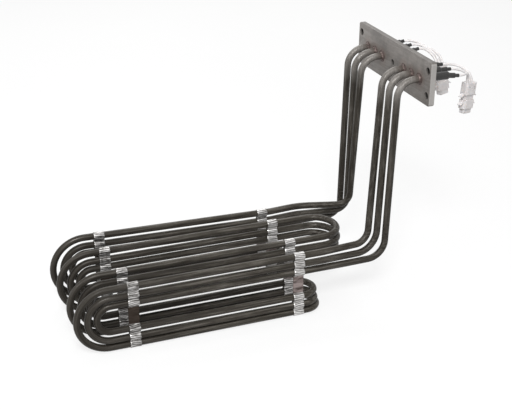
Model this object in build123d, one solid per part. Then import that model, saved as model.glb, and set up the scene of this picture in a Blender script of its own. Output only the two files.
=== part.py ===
from build123d import *
import math
import os

# A plug-in tubular heating element: three long sheathed rods, folded together into one coil
# of four standing rows, rise to a flat flange that closes an opening. Metal bands bundle the
# runs, and the cold ends leave the back of the flange into sleeved splices, lead wires and
# two plug housings.
#
# Frame: the origin is the middle of the flange's seating face, where the row of rod holes has
# its centre. +X points out of the back of the flange, towards the plugs, +Y runs along the
# flange to the back row of the coil, and +Z is up. The coil stands on its lowest runs.

# Rods
rod_d = 8.0
hole_play = 0.1                       # radial play between a rod and its hole in the flange
fit_play = 0.05                       # radial play of seals, pins, splices and brazing
cold_front = 26.0                     # rod that stands out behind the flange, front group
cold_back = 24.6                      # the same, back group
seal_depth = 6.0                      # mouth at a rod's end, for its seal
seal_d = 6.2

# Coil, seen from the front: rows lie at +-row_inner and +-row_outer from the middle plane
row_inner = 27.4
row_outer = 62.4
flange_drop = 269.2                   # flange centre down to the lowest runs
run_gaps = (0.8, 3.2, 24.4, 1.6, 3.0)    # clear height between the runs, from the lowest up
heel_x = -360.7                       # centre of the upright bends at the far end
heel_extra = (2.1, 0.0, 0.0)          # how much further the outer, middle and inner rods reach
toe_x = (-127.2, -129.6, -131.0)      # start of the flat lower bends
bridge_x = (-93.4, -92.3, -93.8)      # start of the wide flat upper bends
back_slope = 1.3                      # degrees that the back row's upper runs climb to the heel
back_level_x = -202.0                 # where they are level with the other rows
back_dip_x = -126.0                   # where they turn up again, towards their risers
back_heel_in = 1.0                    # how much less far their upright bends reach

# Risers, listed for the outer, middle and inner rod of the bundle
entry_y = (26.7, 45.2, 63.8)          # holes in the flange, from its middle
neck_x = -25.5                        # where a riser comes down in front of the flange
neck_r = 20.0
front_foot = ((-50.1, -57.3), (-40.0, -59.6), (-29.2, -60.9))
back_foot = ((-25.6, 44.6), (-24.5, 53.6), (-29.6, 62.9))
front_foot_r = (18.0, 26.0, 21.0)
back_foot_r = (15.5, 16.5, 18.0)
front_jog_x = (-108.0, -108.0, -80.0)    # where an upper run leaves its row for the riser
back_jog_x = (-88.0, -92.0, -80.0)
jog_r = 90.0

# Flange
flange_length = 178.0
flange_height = 50.0
flange_t = 6.5
flange_corner_r = 3.5
flange_edge_r = 0.6
bolt_d = 8.5
bolt_edge_y = 7.5                     # hole centre in from the flange's end
bolt_edge_z = 11.0                    # hole centre in from its long edge
centre_hole_d = 7.2

# Brazed joint round each rod on the seating face
braze_reach = 3.2
braze_height = 2.6
braze_hollow = 0.32                   # how far the ring's side stands out from the corner

# Bands round the six runs of each row
band_w = 12.7
band_t = 0.6
band_play = 0.2
band_neck = 1.9                       # half the width of the band's inside between two runs
band_flare_r = 2.4                    # bend where the two leaves run together
band_slit = 0.15                      # half the slit at which the leaves meet
left_band_x = (-343.2, -345.2, -338.7, -335.4)     # rows from the back to the front
right_band_x = (-137.0, -137.2, -136.6, -139.0)

# Terminals behind the flange: seal, pin, splice, sleeve
pin_d = 2.5
pin_inside = 16.0                     # pin within the rod, behind the seal
seal_proud = 1.0
seal_rim = 0.4                        # seal's head is this much smaller than the rod all round
elbow_gap = 0.6                       # from the seal's head to the point where the pin turns
splice_gap = 2.4                      # from that point to the splice
splice_d = 4.8
splice_length = 8.0
dent_r = 1.15                         # tool that crimps the splice
dent_depth = 0.45
dent_places = (2.0, 6.0)              # along the splice
sleeve_wall = 0.5
sleeve_play = 0.1
sleeve_clear = 1.2                    # sleeve's mouth stays this far off the flange
sleeve_nose = 5.4                     # stretch that grips the wire
wire_d = 3.0
front_tilt = (0.0, 0.0, -7.0)         # degrees that each terminal turns up
back_tilt = (13.0, 11.0, 9.0)

# Plug housings, measured down from the face where the wires enter
plug_pitch = 4.6
plug_ways = 3
well_d = 3.8
well_depth = 10.5
wire_seat = 5.0                       # depth at which a wire meets its contact
collar_side = 2.5                     # wall outside the outer wells
collar_depth = 10.4
collar_length = 14.0
collar_r = 3.0
waist_side = 0.6                      # wall outside the outer contacts
waist_depth = 7.4
waist_length = 6.5
block_length = 10.0
block_chamfer = 2.2
nose_length = 6.0
nose_edge_r = 0.8
socket_d = 3.0
socket_depth = 5.0
window_w = 1.6
window_h = 3.0
window_drop = 5.5                     # lock windows, down from the wire face
ear_t = 0.9
ear_w = 5.0
ear_length = 6.4
ear_root = 1.2                        # part of an ear that lies within the housing
ear_angle = 38.0                      # below the horizontal
ear_drop = 1.6
crimp_d = 3.0
contact_d = 2.3
contact_short = 1.0                   # contact ends this far inside the nose
front_plug = ((76.5, -45.5, -18.6), 20.0, (0.0, 6.0))     # place, turn about Z, leans
back_plug = ((69.7, 12.0, -13.6), 15.0, (-10.0, -4.0))

# Lead wires: straight out of the splice, through hand-placed points, then down into their way
lead_straight = 10.0                  # from the splice to the first bend
front_rise = 7.6                      # last bend, above the plug's wire face
back_rise = 6.2
front_bends = {
    "outer": [(70.5, -30.5, -2.4)],
    "middle": [(66.5, -45.4, -3.8)],
    "inner": [(66.0, -56.0, -3.4)],
}
back_bends = {
    "outer": [(60.8, 21.6, -0.4)],
    "middle": [(61.5, 37.5, 1.8), (66.0, 24.0, -2.2)],
    "inner": [(61.5, 54.5, 2.3), (66.0, 40.0, 0.3), (71.0, 25.5, -2.2)],
}
arc_share = 0.45                      # arc's tangent length, of the shorter run beside it

names = ("outer", "middle", "inner")
row_names = ("back", "mid_back", "mid_front", "front")
row_places = (row_outer, row_inner, -row_inner, -row_outer)
rod_r = rod_d / 2
levels = [-flange_drop]
for gap in run_gaps:
    levels.append(levels[-1] + rod_d + gap)


def back_climb(x):
    """Height of the back row's upper runs over the other rows' at a place along the coil."""
    return (back_level_x - x) * math.tan(math.radians(back_slope))


def rod_end(y):
    """How far from the seating face the rods of a hole's group end."""
    return flange_t + (cold_back if y > 0 else cold_front)


def heel_bend(heel, y, upper, lower, slope=0.0):
    """Upright bend from an upper run, which climbs to it by a slope in degrees, to a level one."""
    lean = math.radians(slope)
    radius = (upper - lower) / (1 + 1 / math.cos(lean))
    top = (heel + radius * math.sin(lean), y, lower + radius * (1 + math.cos(lean)))
    return top, ThreePointArc(top, (heel - radius, y, lower + radius), (heel, y, lower))


def rod_path(index):
    """Centre line of one rod, from the back row's cold end to the front row's."""
    upper = levels[5 - index]
    lower = levels[index]
    heel = heel_x - heel_extra[index]
    back_heel = heel + back_heel_in
    toe = toe_x[index]
    bridge = bridge_x[index]
    toe_r = (row_outer - row_inner) / 2
    mid_y = (row_outer + row_inner) / 2
    dip = (back_dip_x, row_outer, upper + back_climb(back_dip_x))
    groups = (
        (1, back_foot, back_foot_r, back_jog_x, [dip], back_heel, back_climb(back_heel), back_slope),
        (-1, front_foot, front_foot_r, front_jog_x, [], heel, 0.0, 0.0),
    )
    edges = []
    for side, feet, foot_radii, jogs, dips, outer_heel, climb, slope in groups:
        y_in = side * row_inner
        y_out = side * row_outer
        top, outer_bend = heel_bend(outer_heel, y_out, upper + climb, lower, slope)
        inner_top, inner_bend = heel_bend(heel, y_in, upper, lower)
        corners = [
            (rod_end(side), side * entry_y[index], 0),
            (neck_x, side * entry_y[index], 0),
            (*feet[index], upper),
            (jogs[index], y_out, upper),
        ]
        radii = [neck_r, foot_radii[index]] + [jog_r] * (1 + len(dips))
        edges += FilletPolyline(corners + dips + [top], radius=radii).edges()
        edges += outer_bend.edges()
        edges += Line((outer_heel, y_out, lower), (toe, y_out, lower)).edges()
        edges += ThreePointArc((toe, y_out, lower), (toe + toe_r, side * mid_y, lower),
                               (toe, y_in, lower)).edges()
        edges += Line((toe, y_in, lower), (heel, y_in, lower)).edges()
        edges += inner_bend.edges()
        edges += Line(inner_top, (bridge, y_in, upper)).edges()
    edges += ThreePointArc((bridge, row_inner, upper), (bridge + row_inner, 0, upper),
                           (bridge, -row_inner, upper)).edges()
    return Wire(edges)


def rod(index):
    """One sheathed rod, with a mouth for the seal and a bore for the pin at each cold end."""
    start = Plane(origin=(rod_end(1), entry_y[index], 0), z_dir=(-1, 0, 0))
    body = sweep(start * Circle(rod_r), path=rod_path(index))
    for side in (1, -1):
        mouth = Plane(origin=(rod_end(side), side * entry_y[index], 0), z_dir=(-1, 0, 0))
        body -= mouth * Cylinder(seal_d / 2, seal_depth, align=(Align.CENTER, Align.CENTER, Align.MIN))
        body -= mouth * Cylinder(pin_d / 2, seal_depth + pin_inside,
                                 align=(Align.CENTER, Align.CENTER, Align.MIN))
    return body


def flange():
    """Flat bar plate with rounded corners, rod holes, bolt holes and a middle hole."""
    seat = Plane(origin=(0, 0, 0), z_dir=(1, 0, 0), x_dir=(0, 1, 0))
    plate = extrude(seat * RectangleRounded(flange_length, flange_height, flange_corner_r), flange_t)
    plate = fillet(plate.faces().filter_by(Axis.X).edges(), flange_edge_r)
    holes = [(0, 0, centre_hole_d)]
    for side_y in (1, -1):
        for side_z in (1, -1):
            holes.append((side_y * (flange_length / 2 - bolt_edge_y),
                          side_z * (flange_height / 2 - bolt_edge_z), bolt_d))
        for y in entry_y:
            holes.append((side_y * y, 0, rod_d + 2 * hole_play))
    for y, z, diameter in holes:
        drill = Plane(origin=(-flange_t, y, z), z_dir=(1, 0, 0))
        plate -= drill * Cylinder(diameter / 2, 3 * flange_t, align=(Align.CENTER, Align.CENTER, Align.MIN))
    return plate


def braze(y):
    """Ring of brazing metal that flows from the flange's face onto the rod."""
    inner = rod_r + fit_play
    outer = rod_r + braze_reach
    knee = (-braze_height * braze_hollow, inner + (outer - inner) * braze_hollow)
    profile = make_face([
        Line((0, inner), (-braze_height, inner)),
        ThreePointArc((-braze_height, inner), knee, (0, outer)),
        Line((0, outer), (0, inner)),
    ])
    return Pos(0, y, 0) * revolve(profile, Axis.X)


def bend_outline(side, radius, centres, neck, flare, web):
    """One side of a band's outline round a group of runs, from its far end to the flat web.

    radius is the bend round a run, centres are the runs' heights from the group's end to the
    web, neck is the half width between two runs, flare is the last bend and web the half width
    of the flat.
    """
    way = 1 if centres[-1] > centres[0] else -1
    here = (0, centres[0] - way * radius)
    angle_in = -90.0
    edges = []
    for number, centre in enumerate(centres):
        if number < len(centres) - 1:
            half_pitch = abs(centres[number + 1] - centre) / 2
            hollow_r = (half_pitch ** 2 + neck ** 2 - radius ** 2) / (2 * (radius - neck))
            narrow = neck
            along = half_pitch
        else:
            hollow_r = flare
            narrow = web
            along = math.sqrt((radius + flare) ** 2 - (web + flare) ** 2)
        hollow_h = narrow + hollow_r
        hollow_v = centre + way * along
        angle_out = math.degrees(math.atan2(along, hollow_h))
        middle = math.radians((angle_in + angle_out) / 2)
        out = math.radians(angle_out)
        bulge = (side * radius * math.cos(middle), centre + way * radius * math.sin(middle))
        touch = (side * radius * math.cos(out), centre + way * radius * math.sin(out))
        edges.append(ThreePointArc(here, bulge, touch))
        dip = math.pi + out / 2
        if number < len(centres) - 1:
            here = (touch[0], 2 * hollow_v - touch[1])
            edges.append(ThreePointArc(touch, (side * neck, hollow_v), here))
        else:
            here = (side * web, hollow_v)
            dip_point = (side * (hollow_h + hollow_r * math.cos(dip)),
                         hollow_v + way * hollow_r * math.sin(dip))
            edges.append(ThreePointArc(touch, dip_point, here))
        angle_in = -angle_out
    return edges, here


def band(x, y, rise=0.0):
    """A metal band closed round the lower and the upper group, with its leaves joined between."""
    lower = levels[:3]
    upper = [level + rise for level in levels[:2:-1]]
    inner_r = rod_r + band_play
    outline = []
    webs = []
    for side in (1, -1):
        ends = []
        for group in (lower, upper):
            edges, end = bend_outline(side, inner_r + band_t, group, band_neck + band_t,
                                      band_flare_r - band_t, band_slit + band_t)
            outline += edges
            ends.append(end)
        webs.append(Line(ends[0], ends[1]))
    profile = make_face(outline + webs)
    for group in (lower, upper):
        right, right_end = bend_outline(1, inner_r, group, band_neck, band_flare_r, band_slit)
        left, left_end = bend_outline(-1, inner_r, group, band_neck, band_flare_r, band_slit)
        profile -= make_face(right + left + [Line(right_end, left_end)])
    plane = Plane(origin=(x - band_w / 2, y, 0), z_dir=(1, 0, 0), x_dir=(0, 1, 0))
    return extrude(plane * profile, band_w)


def turned(points):
    """A solid of revolution about X from points of (place along X, radius)."""
    return revolve(make_face(Polyline(*points, close=True)), Axis.X)


def elbow(y, tilt):
    """Where a terminal's pin turns, with local +X along the rest of the terminal."""
    return Location((rod_end(y) + seal_proud + elbow_gap, y, 0), (0, -tilt, 0))


def seal(y):
    """Round seal that fills the rod's mouth, with a low head against the rod's end."""
    plug_r = seal_d / 2 - fit_play
    head_r = rod_r - seal_rim
    bore_r = pin_d / 2 + fit_play
    body = turned([(-seal_depth, bore_r), (-seal_depth, plug_r), (0, plug_r), (0, head_r),
                   (seal_proud, head_r), (seal_proud, bore_r)])
    return Pos(rod_end(y), y, 0) * body


def pin(y, tilt):
    """Terminal pin from inside the rod, through the seal and into the splice."""
    radius = pin_d / 2
    inside = seal_depth + pin_inside + seal_proud + elbow_gap
    straight = Plane(origin=(rod_end(y) - seal_depth - pin_inside, y, 0), z_dir=(1, 0, 0))
    body = straight * Cylinder(radius, inside, align=(Align.CENTER, Align.CENTER, Align.MIN))
    reach = splice_gap + splice_length / 2
    tail = turned([(0, 0), (0, radius), (reach, radius), (reach, 0)])
    return body + Pos(elbow(y, 0).position) * Sphere(radius) + elbow(y, tilt) * tail


def splice(y, tilt):
    """Crimped sleeve of metal that joins the pin to the wire's strands."""
    bore_r = pin_d / 2 + fit_play
    end = splice_gap + splice_length
    body = turned([(splice_gap, bore_r), (splice_gap, splice_d / 2), (end, splice_d / 2), (end, bore_r)])
    for place in dent_places:
        dent = Pos(splice_gap + place, 0, splice_d / 2 - dent_depth + dent_r)
        body -= dent * Rot(90, 0, 0) * Cylinder(dent_r, splice_d)
    return elbow(y, tilt) * body


def sleeve(y, tilt):
    """Shrunk sleeve with an even wall over the rod's end, the splice and the wire."""
    mouth = flange_t + sleeve_clear
    rod_part = elbow(y, 0).position.X - mouth
    shapes = []
    for grow in (sleeve_play + sleeve_wall, sleeve_play):
        over_rod = rod_r + grow
        over_splice = splice_d / 2 + grow
        over_wire = wire_d / 2 + grow
        splice_end = splice_gap + splice_length
        wall = grow - sleeve_play
        tip = splice_end + sleeve_nose
        start = Plane(origin=(mouth, y, 0), z_dir=(1, 0, 0))
        shape = start * Cylinder(over_rod, rod_part, align=(Align.CENTER, Align.CENTER, Align.MIN))
        shape += Pos(elbow(y, 0).position) * Sphere(over_rod)
        shape += elbow(y, tilt) * turned([(0, 0), (0, over_splice), (splice_end, over_splice),
                                          (splice_end + 2 * wall, over_wire), (tip, over_wire), (tip, 0)])
        shapes.append(shape)
    return shapes[0] - shapes[1]


def plug_frame(plug):
    """Where a plug's wire face is, with local +Z out of it and local +X along its row of ways."""
    place, turn, leans = plug
    return Location(place) * Location((0, 0, 0), (0, 0, turn)) * Location((0, 0, 0), (leans[0], leans[1], 0))


def way_offsets():
    """Places of the ways along a plug's row."""
    return [(number - (plug_ways - 1) / 2) * plug_pitch for number in range(plug_ways)]


def column(width, depth, top, length):
    """A block of a housing that reaches down from a height."""
    return Pos(0, 0, -top) * Box(width, depth, length, align=(Align.CENTER, Align.CENTER, Align.MAX))


def housing(plug):
    """Moulded plug housing: collar with wells, waist, block and nose, with four snap ears."""
    row = (plug_ways - 1) * plug_pitch
    wide = row + well_d + 2 * collar_side
    slim = row + contact_d + 2 * fit_play + 2 * waist_side
    waist_top = collar_length
    block_top = waist_top + waist_length
    nose_top = block_top + block_length
    total = nose_top + nose_length

    collar = fillet(column(wide, collar_depth, 0, collar_length).edges().filter_by(Axis.Z), collar_r)
    block = column(wide, collar_depth, block_top, block_length)
    block = chamfer(block.edges().filter_by(Axis.Z), block_chamfer)
    nose = column(slim, waist_depth, nose_top, nose_length)
    nose = fillet(nose.edges().filter_by(Axis.Z) + nose.faces().sort_by(Axis.Z)[0].edges(), nose_edge_r)
    body = collar + column(slim, waist_depth, waist_top, waist_length) + block + nose

    for side in (1, -1):
        for height in (collar_length - ear_drop, block_top + ear_drop):
            blade = Box(ear_length, ear_w, ear_t, align=(Align.MIN, Align.CENTER, Align.CENTER))
            lean = ear_angle if side > 0 else 180 - ear_angle
            body += Pos(side * (wide / 2 - ear_root), 0, -height) * Rot(0, lean, 0) * blade

    for x in way_offsets():
        body -= Pos(x, 0, 0) * column_round(well_d / 2, 0, well_depth)
        body -= Pos(x, 0, 0) * column_round(contact_d / 2 + fit_play, 0, total)
        body -= Pos(x, 0, 0) * column_round(socket_d / 2, total - socket_depth, socket_depth)
        body -= Pos(x, 0, -window_drop) * Box(window_w, 2 * collar_depth, window_h)
    return plug_frame(plug) * body


def column_round(radius, top, length):
    """A round bore or shaft that reaches down from a depth below the wire face."""
    return Pos(0, 0, -top) * Cylinder(radius, length, align=(Align.CENTER, Align.CENTER, Align.MAX))


def contact(plug, x):
    """Crimped contact that stands on the ledge of its well and ends inside the nose."""
    total = collar_length + waist_length + block_length + nose_length
    body = column_round(crimp_d / 2, wire_seat, well_depth - wire_seat)
    body += column_round(contact_d / 2, well_depth, total - well_depth - contact_short)
    return plug_frame(plug) * Pos(x, 0, 0) * body


def lead_points(y, tilt, plug, offset, bends, rise):
    """Corners of a lead wire's path, from the splice's end to the contact."""
    outlet = elbow(y, tilt) * Pos(splice_gap + splice_length, 0, 0)
    way = plug_frame(plug) * Pos(offset, 0, 0)
    corners = [outlet, outlet * Pos(lead_straight, 0, 0)]
    corners += [Pos(*bend) for bend in bends]
    corners += [way * Pos(0, 0, rise), way * Pos(0, 0, -wire_seat)]
    return [corner.position for corner in corners]


def lead(points):
    """A lead wire on straight runs joined by arcs as large as the runs allow."""
    radii = []
    for before, corner, after in zip(points, points[1:], points[2:]):
        run_in = corner - before
        run_out = after - corner
        half_turn = math.radians(run_in.get_angle(run_out)) / 2
        radii.append(arc_share * min(run_in.length, run_out.length) / math.tan(half_turn))
    path = FilletPolyline(points, radius=radii)
    start = Plane(origin=points[0], z_dir=points[1] - points[0])
    body = sweep(start * Circle(wire_d / 2), path=path)
    share = body.volume / (math.pi / 4 * wire_d ** 2 * path.length)
    print("lead wire:", round(path.length, 1), "mm, volume against section x length", round(share, 4))
    print("  radii", [round(radius, 1) for radius in radii])
    print("  points", [tuple(round(value, 1) for value in point) for point in points])
    return body


def save(shape, name):
    """Write one piece to its own file."""
    export_step(shape, f"parts/{name}.step")


os.makedirs("parts", exist_ok=True)
save(flange(), "flange_plate")
for number, name in enumerate(names):
    save(rod(number), f"heater_{name}")
for number, row in enumerate(row_names):
    for end, places in (("heel", left_band_x), ("toe", right_band_x)):
        x = places[number]
        rise = back_climb(x) if row == "back" else 0.0
        save(band(x, row_places[number], rise), f"band_{row}_{end}")

sides = (
    ("front", -1, front_tilt, front_plug, front_bends, front_rise),
    ("back", 1, back_tilt, back_plug, back_bends, back_rise),
)
for side, sign, tilts, plug, bends, rise in sides:
    save(housing(plug), f"plug_{side}")
    for number, name in enumerate(names):
        y = sign * entry_y[number]
        tilt = tilts[number]
        offset = sign * way_offsets()[number]
        end = f"{side}_{name}"
        save(braze(y), f"braze_{end}")
        save(seal(y), f"seal_{end}")
        save(pin(y, tilt), f"pin_{end}")
        save(splice(y, tilt), f"splice_{end}")
        save(sleeve(y, tilt), f"sleeve_{end}")
        save(lead(lead_points(y, tilt, plug, offset, bends[name], rise)), f"lead_{end}")
        save(contact(plug, offset), f"contact_{end}")
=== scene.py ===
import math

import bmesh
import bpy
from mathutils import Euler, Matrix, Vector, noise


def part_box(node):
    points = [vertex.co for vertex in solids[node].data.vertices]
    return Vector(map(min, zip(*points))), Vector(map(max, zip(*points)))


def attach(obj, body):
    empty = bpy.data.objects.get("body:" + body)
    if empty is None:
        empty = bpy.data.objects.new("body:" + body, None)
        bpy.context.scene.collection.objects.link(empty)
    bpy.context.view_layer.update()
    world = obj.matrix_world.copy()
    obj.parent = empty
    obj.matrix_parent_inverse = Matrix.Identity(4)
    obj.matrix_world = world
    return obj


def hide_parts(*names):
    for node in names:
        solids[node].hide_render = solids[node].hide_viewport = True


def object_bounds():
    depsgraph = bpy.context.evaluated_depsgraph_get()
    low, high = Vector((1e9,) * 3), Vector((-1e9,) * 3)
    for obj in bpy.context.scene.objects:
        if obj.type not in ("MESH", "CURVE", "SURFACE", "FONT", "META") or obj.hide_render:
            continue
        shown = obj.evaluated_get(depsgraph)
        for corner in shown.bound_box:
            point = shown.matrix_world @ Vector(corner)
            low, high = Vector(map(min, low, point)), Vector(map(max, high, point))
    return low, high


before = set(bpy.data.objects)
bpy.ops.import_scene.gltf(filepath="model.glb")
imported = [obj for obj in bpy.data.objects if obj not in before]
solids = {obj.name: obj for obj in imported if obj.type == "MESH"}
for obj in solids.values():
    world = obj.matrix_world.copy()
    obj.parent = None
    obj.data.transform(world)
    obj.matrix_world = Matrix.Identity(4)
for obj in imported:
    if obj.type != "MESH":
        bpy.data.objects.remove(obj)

# %% [markdown]
# # A tubular heating element, dressed for its portrait
# On the real part three long rods are folded together into a low coil of four standing rows. They
# climb to a steel flange, pass through it and end in black sleeves, pale wires and two plug
# housings. The rigid shapes are solids that were drawn in CAD, and they stay where they are. This
# lesson adds what CAD leaves plain: the bend of free wires, ribbed straps, lumps of brazing, and
# the finish of each metal and plastic. Lengths are in metres, and +Z is up.

cad_low, cad_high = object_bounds()
print("solids:", len(solids), "box:", [round(v, 4) for v in cad_low], [round(v, 4) for v in cad_high])

# %% [markdown]
# ## The camera
# The photograph was taken from the front left and a little above. A view like that can be set by
# eye, with a track-to constraint, or by numbers. Numbers were chosen, since they were solved from
# points that can be recognised on the part: the turn round the part, the height above the
# horizon, the distance and a lens of 75 mm. The small shift says that the middle of the picture
# isn't quite the middle of the lens.

# %% Set up the camera
CAMERA_PLACE = (-0.56950, -1.05505, 0.37883)
CAMERA_AZIMUTH = -20.23
CAMERA_ELEVATION = 26.15
CAMERA_ROLL = -0.12
CAMERA_LENS = 75.12
CAMERA_SENSOR = 36.0
CAMERA_SHIFT = (0.0200, 0.0316)

camera_data = bpy.data.cameras.new("camera")
camera_data.lens = CAMERA_LENS
camera_data.sensor_width = CAMERA_SENSOR
camera_data.shift_x, camera_data.shift_y = CAMERA_SHIFT
camera = bpy.data.objects.new("camera", camera_data)
bpy.context.scene.collection.objects.link(camera)
aim = Euler((math.radians(90 - CAMERA_ELEVATION), 0, math.radians(CAMERA_AZIMUTH))).to_matrix()
turn = aim @ Matrix.Rotation(math.radians(CAMERA_ROLL), 3, "Z")
camera.matrix_world = Matrix.Translation(CAMERA_PLACE) @ turn.to_4x4()
bpy.context.scene.camera = camera
print("camera looks along", [round(v, 3) for v in turn @ Vector((0, 0, -1))])

# %% [markdown]
# ## The lead wires
# Six pale wires leave the sleeves, arch over and drop into the two plug housings, three to each.
# A wire could be a bent tube of straight runs and arcs, as it is in CAD, but a real one has no
# straight run in it. A NURBS curve is smooth all along and is pulled towards a few control points,
# so the same points that the CAD route has give a wire that falls of its own accord. Its thickness
# is the bevel times each point's radius. The radius carries it here, and the bevel is 1, because
# Blender grows a curve's bounding box by the radius of its points.

# %% Where each wire goes
WIRE_D = 0.003

# For each wire: its length, and the points that pull on it, from the splice to the plug.
LEAD_ROUTES = {
    "front_outer": (0.0568, [(0.0445, -0.0267, 0.0), (0.0545, -0.0267, 0.0), (0.0705, -0.0305, -0.0024),
                             (0.0815, -0.0437, -0.0115), (0.0803, -0.0441, -0.0241)]),
    "front_middle": (0.0469, [(0.0445, -0.0452, 0.0), (0.0545, -0.0452, 0.0), (0.0665, -0.0454, -0.0038),
                              (0.0772, -0.0452, -0.0110), (0.0760, -0.0457, -0.0236)]),
    "front_inner": (0.0484, [(0.0444, -0.0638, -0.0013), (0.0543, -0.0638, -0.0025),
                             (0.0660, -0.0560, -0.0034), (0.0729, -0.0468, -0.0106),
                             (0.0717, -0.0472, -0.0231)]),
    "back_outer": (0.0437, [(0.0428, 0.0267, 0.0023), (0.0526, 0.0267, 0.0046), (0.0608, 0.0216, -0.0004),
                            (0.0646, 0.0117, -0.0078), (0.0658, 0.0100, -0.0188)]),
    "back_middle": (0.0589, [(0.0429, 0.0452, 0.0020), (0.0527, 0.0452, 0.0039), (0.0615, 0.0375, 0.0018),
                             (0.0660, 0.0240, -0.0022), (0.0690, 0.0129, -0.0075),
                             (0.0703, 0.0113, -0.0185)]),
    "back_inner": (0.0757, [(0.0430, 0.0638, 0.0016), (0.0528, 0.0638, 0.0032), (0.0615, 0.0545, 0.0023),
                            (0.0660, 0.0400, 0.0003), (0.0710, 0.0255, -0.0022),
                            (0.0734, 0.0142, -0.0072), (0.0747, 0.0125, -0.0182)]),
}
for end, (length, route) in LEAD_ROUTES.items():
    print("wire", end, "is", round(length * 1000, 1), "mm long and has", len(route), "points")

# %% [markdown]
# Each curve takes the place of one solid. A free end would drift away from the plug, so the curve
# is held to the first and last points of its route.

# %% Draw the lead wires


def wire_curve(name, route):
    """A round wire along a smooth curve that is pulled towards the route's points."""
    data = bpy.data.curves.new(name, "CURVE")
    data.dimensions = "3D"
    data.bevel_depth = 1.0
    data.bevel_resolution = 6
    data.resolution_u = 16
    data.use_fill_caps = True
    spline = data.splines.new("NURBS")
    spline.points.add(len(route) - 1)
    for point, spot in zip(spline.points, route):
        point.co = (*spot, 1)
        point.radius = WIRE_D / 2
    spline.order_u = 3
    spline.use_endpoint_u = True
    wire = bpy.data.objects.new(name, data)
    bpy.context.scene.collection.objects.link(wire)
    return wire


wires = []
for end, (length, route) in LEAD_ROUTES.items():
    wire = wire_curve("wire_" + end, route)
    side = end.split("_")[0]
    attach(wire, "root")
    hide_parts("lead_" + end)
    wires.append(wire)
print("lead wires:", [wire.name for wire in wires])

# %% [markdown]
# ## Helpers for finishes
# Every finish here is a small network of nodes: patterns feed a colour ramp, and the ramp feeds
# the shader. The same few links come back each time, so they get short names. The first three
# make a material, add a node to it and put it on an object.

# %% Materials and nodes


def new_finish(name, **sockets):
    """A material with its Principled shader, whose sockets are set to plain values."""
    material = bpy.data.materials.new(name)
    material.use_nodes = True
    tree = material.node_tree
    shader = tree.nodes["Principled BSDF"]
    for socket, value in sockets.items():
        shader.inputs[socket.replace("_", " ")].default_value = value
    return material, tree, shader


def node(tree, kind, **inputs):
    """Adds a node, and sets or links its inputs by name or by number."""
    made = tree.nodes.new(kind)
    for key, value in inputs.items():
        socket = made.inputs[int(key[1:])] if key[0] == "i" and key[1:].isdigit() else made.inputs[key]
        if isinstance(value, bpy.types.NodeSocket):
            tree.links.new(value, socket)
        else:
            socket.default_value = value
    return made


def dress(obj, material):
    """Puts one material on a whole object."""
    obj.data.materials.clear()
    obj.data.materials.append(material)


print("helpers for materials: new_finish, node, dress")

# %% [markdown]
# A pattern is read at a place. Here that is the place in object coordinates, which are metres on
# this part, so a scale of 1000 gives grains of a millimetre. Scaled by a different number along
# each axis, soft noise turns into streaks. A height pattern can also drive a bump, for relief
# that is finer than the mesh.

# %% Places and patterns


def place(tree):
    """Where a point of the part is, in metres."""
    return tree.nodes.new("ShaderNodeTexCoord").outputs["Object"]


def stretched(tree, scale):
    """The same place with each axis scaled, so that a pattern runs along one of them."""
    made = node(tree, "ShaderNodeMapping", Vector=place(tree), Scale=scale)
    return made.outputs["Vector"]


def axis(tree, letter):
    """One coordinate of the place, in metres."""
    return node(tree, "ShaderNodeSeparateXYZ", Vector=place(tree)).outputs[letter]


def cloudy(tree, where, scale, detail=4.0, roughness=0.6):
    """Soft noise from 0 to 1."""
    made = node(tree, "ShaderNodeTexNoise", Vector=where, Scale=scale, Detail=detail, Roughness=roughness)
    return made.outputs["Fac"]


def bumped(tree, shader, height, strength, depth):
    """Gives the shader a bump from a height pattern."""
    made = node(tree, "ShaderNodeBump", Height=height, Strength=strength, Distance=depth)
    tree.links.new(made.outputs["Normal"], shader.inputs["Normal"])


print("helpers for patterns: place, stretched, axis, cloudy, bumped")

# %% [markdown]
# Patterns are numbers from 0 to 1. A ramp turns them into colours, and a mix puts one colour over
# another, as much as a pattern says. A painted picture could hold the same, but it would need an
# unwrapped mesh, and these need none.

# %% Ramps and mixes


def ramp(tree, value, stops):
    """A colour ramp through stops of (position, colour or grey)."""
    made = node(tree, "ShaderNodeValToRGB", Fac=value)
    bar = made.color_ramp
    while len(bar.elements) < len(stops):
        bar.elements.new(0.5)
    for element, (position, colour) in zip(bar.elements, stops):
        element.position = position
        grey = isinstance(colour, (int, float))
        element.color = (colour, colour, colour, 1) if grey else (*colour, 1)
    return made.outputs["Color"]


def mixed(tree, factor, first, second, blend="MIX"):
    """Mixes two colours."""
    made = tree.nodes.new("ShaderNodeMix")
    made.data_type = "RGBA"
    made.blend_type = blend
    for socket, value in ((made.inputs[0], factor), (made.inputs[6], first), (made.inputs[7], second)):
        if isinstance(value, bpy.types.NodeSocket):
            tree.links.new(value, socket)
        elif isinstance(value, tuple):
            socket.default_value = (*value, 1)
        else:
            socket.default_value = value
    return made.outputs[2]


print("helpers for colours: ramp, mixed")

# %% [markdown]
# The last helpers are for plain numbers. Sums join patterns and measures, and a band picks out a
# range of them, so a look can start at one place of the part and fade out at another.

# %% Sums and bands


def number_mix(tree, factor, first, second):
    """Mixes two numbers."""
    made = tree.nodes.new("ShaderNodeMix")
    for socket, value in zip((made.inputs[0], made.inputs[2], made.inputs[3]), (factor, first, second)):
        tree.links.new(value, socket)
    return made.outputs[0]


def sums(tree, operation, *values):
    """A math node on numbers or sockets."""
    made = tree.nodes.new("ShaderNodeMath")
    made.operation = operation
    for socket, value in zip(made.inputs, values):
        if isinstance(value, bpy.types.NodeSocket):
            tree.links.new(value, socket)
        else:
            socket.default_value = value
    return made.outputs[0]


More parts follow.
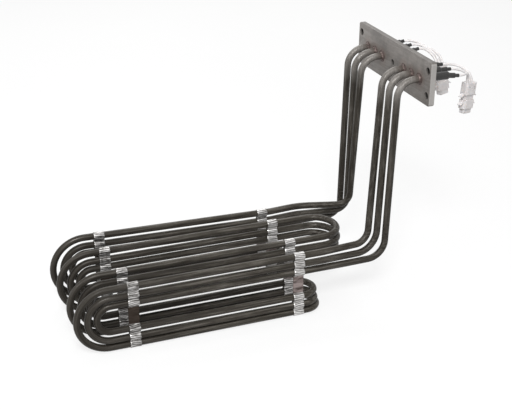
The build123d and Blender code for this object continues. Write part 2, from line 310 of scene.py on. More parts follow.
def band_of(tree, value, low, high, bottom=0.0, top=1.0):
    """Maps a value from low..high to bottom..top, held at both ends."""
    made = node(tree, "ShaderNodeMapRange", Value=value)
    made.inputs["From Min"].default_value = low
    made.inputs["From Max"].default_value = high
    made.inputs["To Min"].default_value = bottom
    made.inputs["To Max"].default_value = top
    return made.outputs["Result"]


print("helpers for numbers: number_mix, sums, band_of")

# %% [markdown]
# ## Heat-darkened rods
# The rods are drawn steel or nickel alloy that turned warm grey-brown when it was annealed. The
# oxide is a thin, uneven skin: drawn lines along each rod, soft clouds, fine specks, and small
# bright scuffs where the coil was handled. A plain dark paint would look dead, so some of the
# metal shows through, and the oxide lives in the colour and the roughness. The drawn lines have
# to follow the rod. Along the straight runs they are noise that is stretched along X, round the
# far bends the height gives way to the distance from the bend's centre, and on the risers they are
# stretched along Z. Close to the flange the skin was cleaned for brazing, so the bends there are
# a lighter satin grey.

# %% Lines along the rods
HEEL_X = -0.3607        # where the far bends start
HEEL_Z = -0.2327        # height of their centre
DRAWN_OUT = 0.035       # along a rod, the place counts only this much


def drawn_lines(tree, scale, detail):
    """Noise in fine lines that follow the rods."""
    z = sums(tree, "SUBTRACT", axis(tree, "Z"), HEEL_Z)
    past = sums(tree, "MINIMUM", sums(tree, "SUBTRACT", axis(tree, "X"), HEEL_X), 0.0)
    square = sums(tree, "ADD", sums(tree, "MULTIPLY", past, past), sums(tree, "MULTIPLY", z, z))
    bent = node(tree, "ShaderNodeCombineXYZ", X=sums(tree, "MULTIPLY", axis(tree, "X"), DRAWN_OUT),
                Y=axis(tree, "Y"), Z=sums(tree, "SQRT", square))
    run = cloudy(tree, bent.outputs[0], scale, detail, roughness=0.7)
    rise = cloudy(tree, stretched(tree, (1, 1, DRAWN_OUT)), scale, detail, roughness=0.7)
    upright = sums(tree, "MULTIPLY", band_of(tree, axis(tree, "X"), -0.060, -0.045),
                   band_of(tree, axis(tree, "Z"), -0.185, -0.165))
    return number_mix(tree, upright, run, rise)


print("lines turn round the far bends at x =", HEEL_X, "and z =", HEEL_Z)

# %% [markdown]
# Brazing heats the rods and the flange round each joint, and it leaves a brown tint there. The
# tint could be painted on by hand. Here it fades with the distance to the nearest of the six
# places where a rod goes through, so it lies round each joint by itself.

# %% Distance to the joints
ENTRY_Y = (0.0267, 0.0452, 0.0638)


def vector_math(tree, operation, **inputs):
    """A math node on vectors."""
    made = node(tree, "ShaderNodeVectorMath", **inputs)
    made.operation = operation
    return made


def distance_from(tree, centre, kept_axes=(1, 1, 1)):
    """Distance in metres from a point, measured along the axes that are kept."""
    gap = vector_math(tree, "SUBTRACT", i0=place(tree), i1=centre)
    flat = vector_math(tree, "MULTIPLY", i0=gap.outputs[0], i1=kept_axes)
    return vector_math(tree, "LENGTH", i0=flat.outputs[0]).outputs["Value"]


def near_entries(tree):
    """Distance in metres to the nearest place where a rod goes through the flange."""
    nearest = None
    for side in (1, -1):
        for y in ENTRY_Y:
            far = distance_from(tree, (0, side * y, 0))
            nearest = far if nearest is None else sums(tree, "MINIMUM", nearest, far)
    return nearest


print("rods go through the flange at y = plus and minus", ENTRY_Y)

# %% [markdown]
# Now the layers of the skin, from the lowest to the last: the clouds of the oxide, light and dark
# drawn lines, specks, scuffs, painted shade that darkens the far bends, and more scale at the feet
# of the risers. Then come the satin of the cleaned bends and the heat tint. Each layer is one mix,
# so it can be switched off by setting its share to 0, to see what it does.

# %% Finish the rods
OXIDE_LIGHT_LINE = (0.168, 0.155, 0.137)
OXIDE_DARK_LINE = (0.014, 0.012, 0.009)
OXIDE_SPECK = (0.022, 0.018, 0.014)
OXIDE_SCUFF = (0.24, 0.23, 0.215)
# dark colour for scale at the risers' feet, and for painted shade on the far bends
SCALE_AND_PAINTED_SHADE = (0.018, 0.015, 0.012)
SATIN_LIGHT_LINE = (0.38, 0.365, 0.345)
SATIN_DARK_LINE = (0.085, 0.076, 0.068)
ROD_HEAT_TINT = (0.070, 0.050, 0.041)

rod_finish, tree, shader = new_finish("rod_oxide_and_painted_shade", Metallic=0.15, Specular_IOR_Level=0.18)
where = place(tree)
clouds = cloudy(tree, where, scale=42, detail=5)
specks = cloudy(tree, where, scale=1300, detail=3, roughness=0.7)
lines = drawn_lines(tree, scale=480, detail=6)
rod_tone = ramp(tree, clouds, [(0.30, (0.041, 0.035, 0.028)), (0.52, (0.054, 0.048, 0.039)),
                            (0.72, (0.074, 0.067, 0.056))])
rod_tone = mixed(tree, band_of(tree, lines, 0.51, 0.64, 0.0, 0.75), rod_tone, OXIDE_LIGHT_LINE)
rod_tone = mixed(tree, band_of(tree, lines, 0.49, 0.38, 0.0, 0.80), rod_tone, OXIDE_DARK_LINE)
rod_tone = mixed(tree, band_of(tree, specks, 0.50, 0.70, 0.0, 0.55), rod_tone, OXIDE_SPECK)
scuffs = cloudy(tree, stretched(tree, (60, 420, 420)), scale=1.0, detail=6, roughness=0.75)
scuffs = band_of(tree, scuffs, 0.64, 0.72)
rod_tone = mixed(tree, sums(tree, "MULTIPLY", scuffs, 0.45), rod_tone, OXIDE_SCUFF)
# painted shade: the far bends, from x = -0.24 outwards, are darkened as if shade fell on them
rod_tone = mixed(tree, band_of(tree, axis(tree, "X"), -0.24, -0.34, 0.0, 0.55), rod_tone, SCALE_AND_PAINTED_SHADE)
rod_tone = mixed(tree, band_of(tree, axis(tree, "X"), -0.11, -0.06, 0.0, 0.35), rod_tone, SCALE_AND_PAINTED_SHADE)
cleaned = sums(tree, "MULTIPLY", band_of(tree, axis(tree, "X"), -0.070, -0.030),
               band_of(tree, axis(tree, "Z"), -0.038, 0.000))
satin = ramp(tree, clouds, [(0.35, (0.150, 0.138, 0.126)), (0.65, (0.240, 0.225, 0.210))])
satin = mixed(tree, band_of(tree, lines, 0.50, 0.66, 0.0, 0.35), satin, SATIN_LIGHT_LINE)
satin = mixed(tree, band_of(tree, lines, 0.48, 0.34, 0.0, 0.35), satin, SATIN_DARK_LINE)
rod_tone = mixed(tree, cleaned, rod_tone, satin)
tint = band_of(tree, sums(tree, "ADD", near_entries(tree), sums(tree, "MULTIPLY", clouds, 0.006)),
               0.0070, 0.0135, 0.80, 0.0)
rod_tone = mixed(tree, tint, rod_tone, ROD_HEAT_TINT)
tree.links.new(rod_tone, shader.inputs["Base Color"])
tree.links.new(ramp(tree, lines, [(0.35, 0.50), (0.65, 0.30)]), shader.inputs["Roughness"])
bumped(tree, shader, sums(tree, "ADD", specks, lines), strength=0.30, depth=0.00010)
for name in ("outer", "middle", "inner"):
    dress(solids["heater_" + name], rod_finish)
print("rods:", rod_finish.name, "with", len(tree.nodes), "nodes")

# %% [markdown]
# ## The flange
# A length of flat steel bar, sawn, drilled and scoured, with corners only just taken off. It is
# mid grey and matt, lightly streaked along its length by the mill and the scouring pad, with
# darker blotches and bright scratches. Its sawn ends are brighter, partly as bright sawn metal and
# partly as painted light on those faces. Its faces along the long top and bottom edges are darker,
# its drilled holes get painted shade, and a brown heat tint lies round each brazed rod. The streaks
# are noise that is stretched along the bar. The holes could be darkened by the light alone, but on
# a white floor metal reflects white everywhere, so their shade is painted in as well.

# %% Where the drilled holes are
BOLT_Y, BOLT_Z, BOLT_RIM = 0.0815, 0.014, 0.0044
MIDDLE_RIM = 0.0038
ROD_RIM = 0.0043
RIM_SOFT = 0.0001
HOLES = [(side * BOLT_Y, up * BOLT_Z, BOLT_RIM) for side in (1, -1) for up in (1, -1)]
HOLES += [(0.0, 0.0, MIDDLE_RIM)]
HOLES += [(side * y, 0.0, ROD_RIM) for side in (1, -1) for y in ENTRY_Y]


def in_holes(tree):
    """1 inside the drilled holes and 0 on the rest of the bar."""
    inside = None
    for y, z, radius in HOLES:
        from_middle = distance_from(tree, (0, y, z), kept_axes=(0, 1, 1))
        mask = band_of(tree, from_middle, radius - RIM_SOFT, radius + RIM_SOFT, 1.0, 0.0)
        inside = mask if inside is None else sums(tree, "MAXIMUM", inside, mask)
    return inside


print("drilled holes:", len(HOLES))

# %% [markdown]
# The bar is layered in the same way as the rods: streaks, blotches, grain and bright ticks, then
# the sawn ends with their painted light, the darker long edges, the heat tint and the holes, whose
# painted shade gets darker from the face inwards.

# %% Finish the flange
BAR_BLOTCH = (0.135, 0.125, 0.117)
BAR_GRAIN = (0.100, 0.092, 0.086)
BAR_TICK = (0.50, 0.49, 0.475)
BAR_SAWN_AND_PAINTED_LIGHT = (0.42, 0.405, 0.39)
BAR_EDGE_DARK = (0.085, 0.078, 0.072)
BAR_HEAT_TINT = (0.215, 0.165, 0.145)

flange_finish, tree, shader = new_finish("scoured_bar", Metallic=0.5)
streaks = cloudy(tree, stretched(tree, (300, 22, 300)), scale=1.0, detail=7, roughness=0.65)
blotches = cloudy(tree, place(tree), scale=34, detail=6, roughness=0.65)
grain = cloudy(tree, place(tree), scale=1500, detail=3, roughness=0.75)
bar = ramp(tree, streaks, [(0.30, (0.210, 0.192, 0.178)), (0.70, (0.310, 0.290, 0.272))])
bar = mixed(tree, band_of(tree, blotches, 0.46, 0.62, 0.0, 0.65), bar, BAR_BLOTCH)
bar = mixed(tree, band_of(tree, grain, 0.50, 0.60, 0.0, 0.55), bar, BAR_GRAIN)
ticks = cloudy(tree, stretched(tree, (900, 60, 900)), scale=1.0, detail=3, roughness=0.8)
bar = mixed(tree, band_of(tree, ticks, 0.64, 0.74, 0.0, 0.55), bar, BAR_TICK)
# partly bright sawn metal, partly painted light: the end faces are lightened
sawn_and_painted_light = band_of(tree, sums(tree, "ABSOLUTE", axis(tree, "Y")), 0.0880, 0.0886, 0.0, 0.8)
bar = mixed(tree, sawn_and_painted_light, bar, BAR_SAWN_AND_PAINTED_LIGHT)
# the top and bottom faces along the long edges, with their arrises, are darkened
dark_edges = band_of(tree, sums(tree, "ABSOLUTE", axis(tree, "Z")), 0.0245, 0.0249, 0.0, 0.6)
bar = mixed(tree, dark_edges, bar, BAR_EDGE_DARK)
tint = band_of(tree, sums(tree, "ADD", near_entries(tree), sums(tree, "MULTIPLY", blotches, 0.010)),
               0.0110, 0.0190, 0.55, 0.0)
bar = mixed(tree, tint, bar, BAR_HEAT_TINT)
hole = in_holes(tree)
# painted shade: the holes get darker from the face inwards
painted_bore_shade = ramp(tree, band_of(tree, axis(tree, "X"), 0.0, 0.005),
            [(0.14, (0.19, 0.178, 0.166)), (0.55, (0.018, 0.016, 0.014))])
bar = mixed(tree, hole, bar, painted_bore_shade)
tree.links.new(bar, shader.inputs["Base Color"])
tree.links.new(sums(tree, "ADD", band_of(tree, streaks, 0.3, 0.7, 0.52, 0.40),
                    sums(tree, "MULTIPLY", hole, 0.3)), shader.inputs["Roughness"])
bumped(tree, shader, sums(tree, "ADD", streaks, grain), strength=0.35, depth=0.00008)
dress(solids["flange_plate"], flange_finish)
print("flange:", flange_finish.name, "with", len(tree.nodes), "nodes")

# %% [markdown]
# ## Black sleeves
# Each rod's end, its splice and the start of its wire lie under a shrunk sleeve. The sleeve took
# the steps of what is under it, and it keeps a faint waviness where it shrank. The steps are in
# the solids. The waviness could be modelled too, but it is so slight that a bump is enough. The
# sleeve is a satin black plastic, a shade off true black, so its shape still shows.

# %% Finish the sleeves
SLEEVE_BLACK = (0.017, 0.0165, 0.016)
SLEEVE_DUST = (0.060, 0.058, 0.056)

sleeve_finish, tree, shader = new_finish("shrunk_sleeve", Specular_IOR_Level=0.45)
ripple = cloudy(tree, stretched(tree, (520, 160, 160)), scale=1.0, detail=3)
dust = cloudy(tree, place(tree), scale=1500, detail=2, roughness=0.8)
black = mixed(tree, band_of(tree, dust, 0.50, 0.72, 0.0, 0.7), SLEEVE_BLACK, SLEEVE_DUST)
tree.links.new(black, shader.inputs["Base Color"])
tree.links.new(ramp(tree, ripple, [(0.3, 0.36), (0.7, 0.52)]), shader.inputs["Roughness"])
bumped(tree, shader, ripple, strength=0.4, depth=0.00025)
sleeves = [name for name in solids if name.startswith("sleeve_")]
for name in sleeves:
    dress(solids[name], sleeve_finish)
print("sleeves:", sleeves)

# %% [markdown]
# ## Wires and plug housings
# Both are pale plastics that let some light in. The wires have a smooth, slightly waxy
# insulation. A plain white would be quicker, but light that enters and comes out again near by is
# what makes them look like plastic and not like chalk, so both use some subsurface scattering.

# %% Finish the wires
wire_finish, tree, shader = new_finish("wire_insulation", Subsurface_Weight=0.25, Coat_Weight=0.15)
shader.inputs["Subsurface Radius"].default_value = (0.0016, 0.0015, 0.0014)
shader.inputs["Subsurface Scale"].default_value = 1.0
cloud = cloudy(tree, place(tree), scale=220, detail=4)
tree.links.new(ramp(tree, cloud, [(0.3, (0.72, 0.695, 0.69)), (0.7, (0.86, 0.835, 0.83))]),
               shader.inputs["Base Color"])
tree.links.new(ramp(tree, cloud, [(0.3, 0.32), (0.7, 0.42)]), shader.inputs["Roughness"])
bumped(tree, shader, cloudy(tree, place(tree), scale=1400, detail=2), strength=0.12, depth=0.00006)
for wire in wires:
    dress(wire, wire_finish)
print("wires:", wire_finish.name)

# %% [markdown]
# The housings are moulded nylon, milky, with dark wells and windows. The same finish as the wires
# would do from afar, but a little transmission lets some light through their thin walls.

# %% Finish the plug housings
nylon_finish, tree, shader = new_finish("milky_nylon", Subsurface_Weight=0.25, Transmission_Weight=0.20)
shader.inputs["Subsurface Radius"].default_value = (0.0022, 0.0020, 0.0018)
shader.inputs["Subsurface Scale"].default_value = 1.0
cloud = cloudy(tree, place(tree), scale=160, detail=4)
grain = cloudy(tree, place(tree), scale=2600, detail=2)
tree.links.new(ramp(tree, cloud, [(0.3, (0.84, 0.80, 0.795)), (0.7, (0.93, 0.90, 0.895))]),
               shader.inputs["Base Color"])
tree.links.new(ramp(tree, cloud, [(0.3, 0.30), (0.7, 0.44)]), shader.inputs["Roughness"])
bumped(tree, shader, grain, strength=0.15, depth=0.00005)
for side in ("front", "back"):
    dress(solids["plug_" + side], nylon_finish)
print("plug housings:", nylon_finish.name)

# %% [markdown]
# ## Small metal parts
# The contacts in the plugs, the splices and the pins hardly show, but they are there when the
# part is turned or opened. They are tinned or plain steel: bright, a little grey, with a fine
# tooth. Each could have its own finish, but one serves for all of them at this size.

# %% Finish the small metal parts
tinned_finish, tree, shader = new_finish("tinned_metal", Metallic=1.0)
cloud = cloudy(tree, place(tree), scale=700, detail=3)
tree.links.new(ramp(tree, cloud, [(0.3, (0.44, 0.44, 0.44)), (0.7, (0.60, 0.60, 0.59))]),
               shader.inputs["Base Color"])
tree.links.new(ramp(tree, cloud, [(0.3, 0.25), (0.7, 0.40)]), shader.inputs["Roughness"])
bumped(tree, shader, cloud, strength=0.1, depth=0.00004)
small_metal = [name for name in solids if name.startswith(("contact_", "splice_", "pin_"))]
for name in small_metal:
    dress(solids[name], tinned_finish)
print("tinned pieces:", len(small_metal))

# %% [markdown]
# A seal closes the mouth of each rod against damp. It is a dull, pale rubber, so it is rough and
# has no metal in it.

# %% Finish the seals
seal_finish, tree, shader = new_finish("seal_rubber")
cloud = cloudy(tree, place(tree), scale=600, detail=4)
tree.links.new(ramp(tree, cloud, [(0.3, (0.26, 0.25, 0.23)), (0.7, (0.36, 0.35, 0.32))]),
               shader.inputs["Base Color"])
tree.links.new(ramp(tree, cloud, [(0.3, 0.62), (0.7, 0.76)]), shader.inputs["Roughness"])
bumped(tree, shader, cloud, strength=0.2, depth=0.00005)
seals = [name for name in solids if name.startswith("seal_")]
for name in seals:
    dress(solids[name], seal_finish)
print("seals:", len(seals))

# %% [markdown]
# ## Brazed joints
# Each rod is joined to the flange by a ring of brazing metal. The real ring is never even: it
# wetted further on one side, and it froze in small lumps. The ring is drawn as a round fillet,
# point by point, and noise moves each point a little in or out. It stands for the plain ring
# that the CAD model has there.

# %% The shape of a brazed ring
BRAZE_INNER = 0.00402
BRAZE_REACH = 0.0030
BRAZE_REACH_MOST = 0.0031
BRAZE_HEIGHT = 0.0024
BRAZE_HEIGHT_MOST = 0.00255
BRAZE_HEIGHT_LEAST = 0.00005
BRAZE_UNEVEN = 0.28
BRAZE_LUMP = 0.22
BRAZE_LUMP_OUT = 0.0011
BRAZE_LUMP_UP = 0.0010
BRAZE_ROUND = 56
BRAZE_UP = 9


def join_loops(mesh, loops, next_loops):
    """Faces between each closed loop of vertices and the loop after it."""
    for first, second in zip(loops, next_loops):
        for number in range(len(first)):
            after = (number + 1) % len(first)
            mesh.faces.new((first[number], first[after], second[after], second[number]))


def mesh_object(name, mesh):
    """Turns a bmesh into a smooth object in the scene."""
    bmesh.ops.recalc_face_normals(mesh, faces=mesh.faces)
    data = bpy.data.meshes.new(name)
    mesh.to_mesh(data)
    mesh.free()
    for face in data.polygons:
        face.use_smooth = True
    made = bpy.data.objects.new(name, data)
    bpy.context.scene.collection.objects.link(made)
    return made


def braze_ring(name, y, seed):
    """A lumpy fillet round one rod, on the face at x = 0."""
    mesh = bmesh.new()
    rings = []
    for step in range(BRAZE_UP + 1):
        share = step / BRAZE_UP
        ring = []
        for turn_step in range(BRAZE_ROUND):
            angle = 2 * math.pi * turn_step / BRAZE_ROUND
            around = Vector((math.cos(angle), math.sin(angle), 0))
            spread = 1 + BRAZE_UNEVEN * noise.noise(around * 1.3 + Vector((seed * 7.1, 0, 0)))
            lump = BRAZE_LUMP * noise.noise(around * 3.1 + Vector((seed * 3.7, share * 1.6, 0)))
            slope = math.radians(90 * (1 - share))
            reach = BRAZE_REACH * spread * (1 - math.sin(slope)) + lump * BRAZE_LUMP_OUT * share
            height = BRAZE_HEIGHT * spread * (1 - math.cos(slope)) + lump * BRAZE_LUMP_UP * (1 - share)
            radius = BRAZE_INNER + min(max(reach, 0), BRAZE_REACH_MOST)
            height = min(max(height, BRAZE_HEIGHT_LEAST), BRAZE_HEIGHT_MOST)
            ring.append(mesh.verts.new((-height, y + radius * math.cos(angle), radius * math.sin(angle))))
        rings.append(ring)
    inner_foot = [mesh.verts.new((0, vertex.co.y, vertex.co.z)) for vertex in rings[0]]
    outer_foot = [mesh.verts.new((0, vertex.co.y, vertex.co.z)) for vertex in rings[-1]]
    rings = [inner_foot] + rings + [outer_foot]
    join_loops(mesh, rings, rings[1:] + rings[:1])
    return mesh_object(name, mesh)


print("a brazed ring has", BRAZE_ROUND, "points round the rod and", BRAZE_UP + 1, "up its side")

# %% [markdown]
# The brazing metal went dull and dark where it was hot longest, and it stays reddish and brighter
# on its high spots, so its colour is mottled from brown to a pinkish grey.

# %% Build and finish the brazed rings
braze_finish, tree, shader = new_finish("brazing_metal", Metallic=0.4)
cloud = cloudy(tree, place(tree), scale=420, detail=5, roughness=0.7)
tree.links.new(ramp(tree, cloud, [(0.36, (0.030, 0.021, 0.018)), (0.50, (0.085, 0.060, 0.053)),
                                  (0.64, (0.190, 0.140, 0.127))]), shader.inputs["Base Color"])
tree.links.new(ramp(tree, cloud, [(0.3, 0.60), (0.7, 0.38)]), shader.inputs["Roughness"])
bumped(tree, shader, cloudy(tree, place(tree), scale=1300, detail=4), strength=0.35, depth=0.00012)
braze_rings = []
for side, sign in (("front", -1), ("back", 1)):
    for number, name in enumerate(("outer", "middle", "inner")):
        ring = braze_ring(f"brazing_{side}_{name}", sign * ENTRY_Y[number], len(braze_rings) + 1)
        dress(ring, braze_finish)
        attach(ring, "root")
        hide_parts(f"braze_{side}_{name}")
        braze_rings.append(ring)
print("brazed rings:", len(braze_rings), "with", len(braze_rings[0].data.polygons), "faces each")

# %% [markdown]
# ## Ribbed straps
# Eight straps of thin bright steel hold the runs of each row together. The strip is pressed with
# fine ribs across its width, so it grips the rods and bends round them easily, and where the two
# leaves meet between the groups it is flat and dulled brown by the heat. Each strap is drawn as a
# real strip: a line is laid round both groups of runs, the same way as a strip would go, then it
# gets a thickness, a width and its ribs. A bump in the material would be less work, but it would
# leave the edges of the strip straight and its outline smooth.

# %% The line of a strap
STRAP_THICK = 0.0006
STRAP_BEND = 0.0045         # from a run's centre to the middle of the strip
STRAP_NECK = 0.0022         # from the row's middle to the strip, between two runs
STRAP_FLARE = 0.0021        # radius of the bend from the last run to the flat web
STRAP_WEB = 0.00045         # from the row's middle to each leaf of the web
STRAP_STEP = 0.00016        # between two points of the line
LOWER_RUNS = (-0.2692, -0.2604, -0.2492)
UPPER_RUNS = (-0.1962, -0.2072, -0.2168)


def arc_points(middle_y, middle_z, radius, start, end):
    """Points along an arc, with angles in radians."""
    count = max(2, int(radius * abs(end - start) / STRAP_STEP))
    return [(middle_y + radius * math.cos(start + (end - start) * step / count),
             middle_z + radius * math.sin(start + (end - start) * step / count)) for step in range(count)]


def group_side(runs):
    """One side of the strip round a group, from its far end to the flat web, with z as height."""
    heights = [abs(run - runs[0]) for run in runs]
    points = []
    angle = -math.pi / 2
    for number, height in enumerate(heights):
        last = number == len(heights) - 1
        if last:
            hollow, narrow = STRAP_FLARE, STRAP_WEB
            along = math.sqrt((STRAP_BEND + hollow) ** 2 - (narrow + hollow) ** 2)
        else:
            along, narrow = (heights[number + 1] - height) / 2, STRAP_NECK
            hollow = (along ** 2 + narrow ** 2 - STRAP_BEND ** 2) / (2 * (STRAP_BEND - narrow))
        out = math.atan2(along, narrow + hollow)
        points += arc_points(0, height, STRAP_BEND, angle, out)
        finish = math.pi if last else math.pi - out
        points += arc_points(narrow + hollow, height + along, hollow, math.pi + out, finish)
        angle = -out
    points.append((STRAP_WEB, heights[-1] + along))
    way = 1 if runs[-1] > runs[0] else -1
    return [(y, runs[0] + way * height) for y, height in points]


def even_loop(points):
    """The same closed line with points at equal steps."""
    closed = points + points[:1]
    lengths = [math.dist(first, second) for first, second in zip(closed, closed[1:])]
    count = round(sum(lengths) / STRAP_STEP)
    stride = sum(lengths) / count
    even, travelled, target = [], 0.0, 0.0
    for (first, second), length in zip(zip(closed, closed[1:]), lengths):
        while target < travelled + length and len(even) < count:
            share = (target - travelled) / length
            even.append(tuple(a + (b - a) * share for a, b in zip(first, second)))
            target += stride
        travelled += length
    return even


def strap_line(rise):
    """The middle line of a strip round the lower runs and the upper runs, which may stand higher."""
    upper = [run + rise for run in UPPER_RUNS]
    right = group_side(LOWER_RUNS) + group_side(upper)[::-1]
    left = [(-y, z) for y, z in right[::-1]]
    return even_loop(right + left), LOWER_RUNS[-1] + STRAP_BEND, upper[-1] - STRAP_BEND


print("points on a strap's line:", len(strap_line(0.0)[0]))

# %% [markdown]
# The strip is laid along that line. At each point a row of vertices goes across its width, and
# the ribs push some of them in. A displacement modifier could do that too, but here the ribs have
# to wander a little and fade out on the flat web. Each vertex keeps two numbers for the finish:
# how deep it is in a groove, and how much it is web.

# %% A strip with its ribs
STRAP_WIDTH = 0.0127
STRAP_ACROSS = 14
RIB_PITCH = 0.00230
RIB_DEPTH = 0.00020
RIB_SHARPNESS = 5
RIB_WANDER = 0.9            # in ribs, slowly along the strip
RIB_TREMBLE = 0.12          # in ribs, from each rib to the next
SLOW = 110                  # how quickly the noise changes, per metre
FAST = 420
RAGGED = 500
CREASE_DEPTH = 0.00003
EDGE_WEAR = 0.00006
EDGE_WAVER = 0.00010
WEB_FADE = 0.0012


def strap(name, stands_for, seed):
    """A ribbed strip that takes the place of one plain band."""
    low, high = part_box(stands_for)
    x, y_row = (low[0] + high[0]) / 2, (low[1] + high[1]) / 2
    line, web_low, web_high = strap_line(high[2] - STRAP_BEND - STRAP_THICK / 2 - UPPER_RUNS[0])
    mesh = bmesh.new()
    groove_layer = mesh.verts.layers.float.new("groove")
    web_layer = mesh.verts.layers.float.new("web")
    loops = []
    for number, (y, z) in enumerate(line):
        before, after = line[number - 1], line[(number + 1) % len(line)]
        ahead = Vector((after[0] - before[0], after[1] - before[1])).normalized()
        out = Vector((ahead.y, -ahead.x))
        web = min(max((z - web_low) / WEB_FADE, 0), 1) * min(max((web_high - z) / WEB_FADE, 0), 1)
        loop = []
        for step in range(STRAP_ACROSS + 1):
            share = step / STRAP_ACROSS
            along = number * STRAP_STEP
            drift = noise.noise(Vector((share * 0.8 + seed * 11, along * SLOW, 0.5))) * RIB_WANDER
            drift += noise.noise(Vector((share * 2.4, along * FAST, seed * 5.0))) * RIB_TREMBLE
            wave = 0.5 - 0.5 * math.cos(2 * math.pi * (along / RIB_PITCH + drift))
            groove = wave ** RIB_SHARPNESS * (1 - web)
            crease = CREASE_DEPTH * noise.noise(Vector((share * 2.0, along * FAST, seed * 3.0 + 0.3)))
            at_edge = step in (0, STRAP_ACROSS)
            worn = EDGE_WEAR if at_edge else 0.0
            depth = STRAP_THICK / 2 - RIB_DEPTH * groove - abs(crease) - worn
            across = (share - 0.5) * (STRAP_WIDTH - 2 * EDGE_WAVER)
            if at_edge:
                across += EDGE_WAVER * noise.noise(Vector((along * RAGGED, seed, share)))
            vertex = mesh.verts.new((x + across, y_row + y + out.x * depth, z + out.y * depth))
            vertex[groove_layer] = groove
            vertex[web_layer] = web
            loop.append(vertex)
        for share in (1, 0):
            vertex = mesh.verts.new((x + (share - 0.5) * STRAP_WIDTH, y_row + y - out.x * STRAP_THICK / 2,
                                     z - out.y * STRAP_THICK / 2))
            vertex[web_layer] = web
            loop.append(vertex)
        loops.append(loop)
    join_loops(mesh, loops, loops[1:] + loops[:1])
    return mesh_object(name, mesh)


print("ribs are", RIB_PITCH, "m apart and", RIB_DEPTH, "m deep")

# %% [markdown]
# The steel is bright on the ribs, and painted shade darkens the grooves. The straps at the far end
# are duller than those near the flange. The webs were browned by the heat. The two numbers that
# the vertices keep say where a groove or a web is, so no texture has to be drawn.

# %% Finish of the straps
GROOVE_PAINTED_SHADE = (0.024, 0.020, 0.017)


def kept_number(tree, name):
    """A number that the vertices of the mesh keep."""
    made = node(tree, "ShaderNodeAttribute")
    made.attribute_name = name
    return made.outputs["Fac"]


strap_finish, tree, shader = new_finish("strap_steel", Metallic=1.0)
cloud = cloudy(tree, stretched(tree, (90, 90, 420)), scale=1.0, detail=4)
groove = kept_number(tree, "groove")
web = kept_number(tree, "web")
near_end = band_of(tree, axis(tree, "X"), -0.25, -0.24)
dull = ramp(tree, cloud, [(0.40, (0.14, 0.134, 0.128)), (0.60, (0.62, 0.61, 0.60))])
clean = ramp(tree, cloud, [(0.35, (0.34, 0.33, 0.32)), (0.60, (0.76, 0.75, 0.74))])
bright = mixed(tree, near_end, dull, clean)
# painted shade: the grooves are darkened by their depth
painted_groove_shade = band_of(tree, groove, 0.12, 0.60, 0.0, 0.95)
bright = mixed(tree, painted_groove_shade, bright, GROOVE_PAINTED_SHADE)
crinkle = cloudy(tree, stretched(tree, (60, 60, 330)), scale=1.0, detail=4)
burnt = ramp(tree, cloud, [(0.3, (0.034, 0.026, 0.021)), (0.7, (0.060, 0.047, 0.039))])
browned = ramp(tree, crinkle, [(0.40, (0.085, 0.066, 0.060)), (0.60, (0.330, 0.275, 0.265))])
browned = mixed(tree, near_end, burnt, browned)
tree.links.new(mixed(tree, web, bright, browned), shader.inputs["Base Color"])
tree.links.new(band_of(tree, web, 0, 1, 0.28, 0.55), shader.inputs["Roughness"])
bumped(tree, shader, cloudy(tree, place(tree), scale=1800, detail=2), strength=0.10, depth=0.00005)
print("straps:", strap_finish.name, "with", len(tree.nodes), "nodes")

# %% [markdown]
# Each row of runs has a strap at the far end and one near the flange. Eight copies of one mesh
# would show the same ribs eight times, so each strap is built anew with its own drift. The back
# row's far strap stands higher, because its upper runs climb, and its height is read from the
# solid that it takes the place of.

# %% Build the eight straps
straps = []
for row in ("back", "mid_back", "mid_front", "front"):
    for end in ("heel", "toe"):
        piece = strap(f"strap_{row}_{end}", f"band_{row}_{end}", len(straps) + 1)
        dress(piece, strap_finish)
        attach(piece, "root")
        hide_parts(f"band_{row}_{end}")
        straps.append(piece)
print("straps:", len(straps), "with", len(straps[0].data.polygons), "faces each")

# %% [markdown]
# ## Floor and light
# The photograph is a catalogue picture: the part stands on nothing but white. A large pale floor
# takes a soft shadow. Enough light to turn it white would wash out the metal, so the floor has two
# looks. Where the camera, a reflection or a clear plastic sees it, it is mixed with a plain white
# glow. For all other light it is a middle grey, and it throws little light up at the part.

# %% Lay the floor
FLOOR_HALF = 1.7
FLOOR_GLOW = 0.74


def seen_straight(tree):
    """1 where the camera, a reflection or a clear plastic sees the surface, and 0 for other light."""
    rays = tree.nodes.new("ShaderNodeLightPath")
    seen = sums(tree, "MAXIMUM", rays.outputs["Is Camera Ray"], rays.outputs["Is Glossy Ray"])
    return sums(tree, "MAXIMUM", seen, rays.outputs["Is Transmission Ray"])


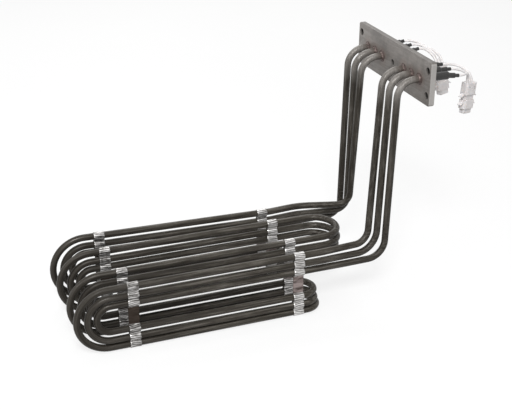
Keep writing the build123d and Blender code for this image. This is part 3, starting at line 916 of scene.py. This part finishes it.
floor_data = bpy.data.meshes.new("floor")
corners = ((-1, -1), (1, -1), (1, 1), (-1, 1))
corners = [(x * FLOOR_HALF, y * FLOOR_HALF, cad_low.z) for x, y in corners]
floor_data.from_pydata(corners, [], [(0, 1, 2, 3)])
floor = bpy.data.objects.new("floor", floor_data)
bpy.context.scene.collection.objects.link(floor)
floor_finish, tree, shader = new_finish("pale_floor", Roughness=0.9)
shade = cloudy(tree, place(tree), scale=3, detail=3)
seen = seen_straight(tree)
grey = ramp(tree, shade, [(0.3, 0.33), (0.7, 0.37)])
pale = ramp(tree, shade, [(0.3, 0.93), (0.7, 0.96)])
tree.links.new(mixed(tree, seen, grey, pale), shader.inputs["Base Color"])
white = node(tree, "ShaderNodeEmission", Color=(1, 1, 1, 1), Strength=1.0)
lit = node(tree, "ShaderNodeMixShader", i0=sums(tree, "MULTIPLY", seen, FLOOR_GLOW),
           i1=shader.outputs["BSDF"], i2=white.outputs["Emission"])
tree.links.new(lit.outputs["Shader"], tree.nodes["Material Output"].inputs["Surface"])
dress(floor, floor_finish)
print("floor at z =", round(cad_low.z, 4))

# %% [markdown]
# A wall behind the part could close the view, but its edge would show from some sides. A white
# world has none. It works like the floor: full white where it is seen, and less where it only
# lights the part.

# %% White world
WORLD_LIGHT = 0.42

world = bpy.data.worlds.new("studio")
bpy.context.scene.world = world
world.use_nodes = True
tree = world.node_tree
background = tree.nodes["Background"]
tree.links.new(band_of(tree, seen_straight(tree), 0, 1, WORLD_LIGHT, 1.0), background.inputs["Strength"])
background.inputs["Color"].default_value = (1, 1, 1, 1)
print("world:", world.name)

# %% [markdown]
# Three soft lamps stand where a small studio would have them. One stronger lamp would give hard,
# black shadows between the rods. The key is the smallest, so the straps and the bends still have
# clear highlights, and the other two open up the shadows.

# %% Soft lamps
MIDDLE = (-0.17, 0.0, -0.15)


def soft_lamp(name, spot, aim_at, size, watts):
    """A square lamp that shines at a point."""
    data = bpy.data.lights.new(name, "AREA")
    data.size = size
    data.energy = watts
    lamp = bpy.data.objects.new(name, data)
    bpy.context.scene.collection.objects.link(lamp)
    lamp.location = spot
    lamp.rotation_euler = (Vector(aim_at) - Vector(spot)).to_track_quat("-Z", "Y").to_euler()
    print("lamp:", name, watts, "W")


soft_lamp("key", (-0.7, -1.3, 1.25), MIDDLE, 0.5, 27)
soft_lamp("fill", (-1.5, -0.3, 0.8), MIDDLE, 1.2, 8)
soft_lamp("back", (0.1, 1.3, 1.1), MIDDLE, 1.0, 10)

# %% [markdown]
# ## Finish
# The picture uses the Standard view transform.

# %% Set the view transform
bpy.context.scene.view_settings.view_transform = "Standard"
